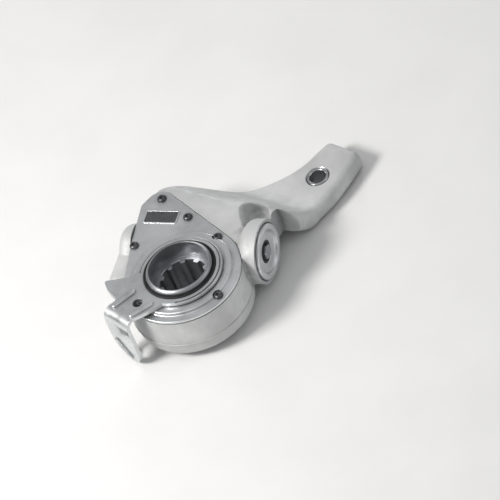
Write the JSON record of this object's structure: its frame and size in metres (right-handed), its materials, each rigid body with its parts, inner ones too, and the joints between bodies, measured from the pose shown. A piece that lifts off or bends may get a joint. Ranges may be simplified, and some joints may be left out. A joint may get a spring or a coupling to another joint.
{
  "type": "automatic slack adjuster",
  "caption": "Automatic slack adjuster for an S-cam drum brake: offset cast lever, splined worm wheel, worm line with one-way clutch, rack, and a control arm.",
  "frame": {"origin": "bottom centre of the whole object's bounding box: the middle of its length and width, at the height of its lowest point (the underside of the lever bushing)", "axes": "+Z is parallel to the worm wheel's axis and points out of the cover side; +X points from the worm wheel's axis towards the lever's clevis-pin eye; +Y completes the right-handed frame"},
  "size_m": [0.2602, 0.143, 0.0602],
  "materials": {
    "cast": "zinc-flake coated grey iron casting, fine as-cast grain, pale satin grey",
    "zinc_cover": "bright zinc-plated pressed steel, satin",
    "zinc_arm": "zinc-plated pressed steel with rubbed edges, satin",
    "screw_steel": "black oxide screw steel, semi-matt",
    "gear_steel": "machined hardened steel, light oil film",
    "dark_steel": "black phosphated spring steel",
    "bearing_steel": "ground bearing steel, smooth",
    "rubber": "black nitrile rubber, matt",
    "gasket_fibre": "grey-green fibre gasket sheet, matt",
    "label": "blank anodised aluminium plate, fine brushed"
  },
  "bodies": {
    "housing_unit": {"housing": "cast", "lever_bushing": "bearing_steel", "cover_plate": "zinc_cover", "cover_gasket": "gasket_fibre", "cover_screw_1": "screw_steel", "cover_screw_2": "screw_steel", "cover_screw_3": "screw_steel", "cover_screw_4": "screw_steel", "cover_screw_5": "screw_steel", "cover_screw_6": "screw_steel", "label_plate": "label", "housing_seal": "rubber", "worm_bush": "bearing_steel", "end_cap": "zinc_cover", "cap_o_ring": "rubber", "adjuster_seal": "rubber", "clutch_spring": "dark_steel", "spring_seat": "bearing_steel", "rack_spring": "dark_steel"},
    "wheel_unit": {"worm_wheel": "gear_steel", "wheel_o_ring": "rubber"},
    "worm_unit": {"worm_screw": "gear_steel", "clutch_ring": "gear_steel", "one_way_spring": "dark_steel", "thrust_washer": "bearing_steel"},
    "bearing_unit": {"thrust_bearing": "bearing_steel"},
    "control_unit": {"control_arm": "zinc_arm", "control_disc": "dark_steel", "wiper_seal": "rubber"},
    "rack_unit": {"rack": "gear_steel"},
    "pinion_unit": {"clutch_pinion": "gear_steel"}
  },
  "joints": [
    {"name": "worm_wheel_spin", "type": "hinge", "parent": "housing_unit", "child": "wheel_unit", "pos_m": [-0.06119, -0.01822, 0.031], "axis": [0, 0, 1], "continuous": true},
    {"name": "worm_screw_spin", "type": "hinge", "parent": "housing_unit", "child": "worm_unit", "pos_m": [-0.02491, 0.00172, 0.031], "axis": [0.4818, -0.8763, 0], "continuous": true},
    {"name": "thrust_bearing_spin", "type": "hinge", "parent": "housing_unit", "child": "bearing_unit", "pos_m": [-0.00839, -0.02834, 0.031], "axis": [0.4818, -0.8763, 0], "continuous": true},
    {"name": "control_arm_swing", "type": "hinge", "parent": "housing_unit", "child": "control_unit", "pos_m": [-0.06119, -0.01822, 0.054], "axis": [0, 0, 1], "range_deg": [-18, 12]},
    {"name": "rack_slide", "type": "slide", "parent": "housing_unit", "child": "rack_unit", "axis": [0.8763, 0.4818, 0], "range_m": [-0.0078, 0.0116], "deforming": ["rack_spring"]},
    {"name": "clutch_pinion_spin", "type": "hinge", "parent": "housing_unit", "child": "pinion_unit", "pos_m": [-0.04563, 0.0394, 0.031], "axis": [0.4818, -0.8763, 0], "range_deg": [-74, 50]}
  ],
  "couplings": [
    {"joint": "worm_screw_spin", "follows": "worm_wheel_spin", "ratio": 24},
    {"joint": "thrust_bearing_spin", "follows": "worm_wheel_spin", "ratio": 12},
    {"joint": "rack_slide", "follows": "control_arm_swing", "m_per_rad": -0.0365},
    {"joint": "clutch_pinion_spin", "follows": "control_arm_swing", "ratio": 4.0556}
  ]
}
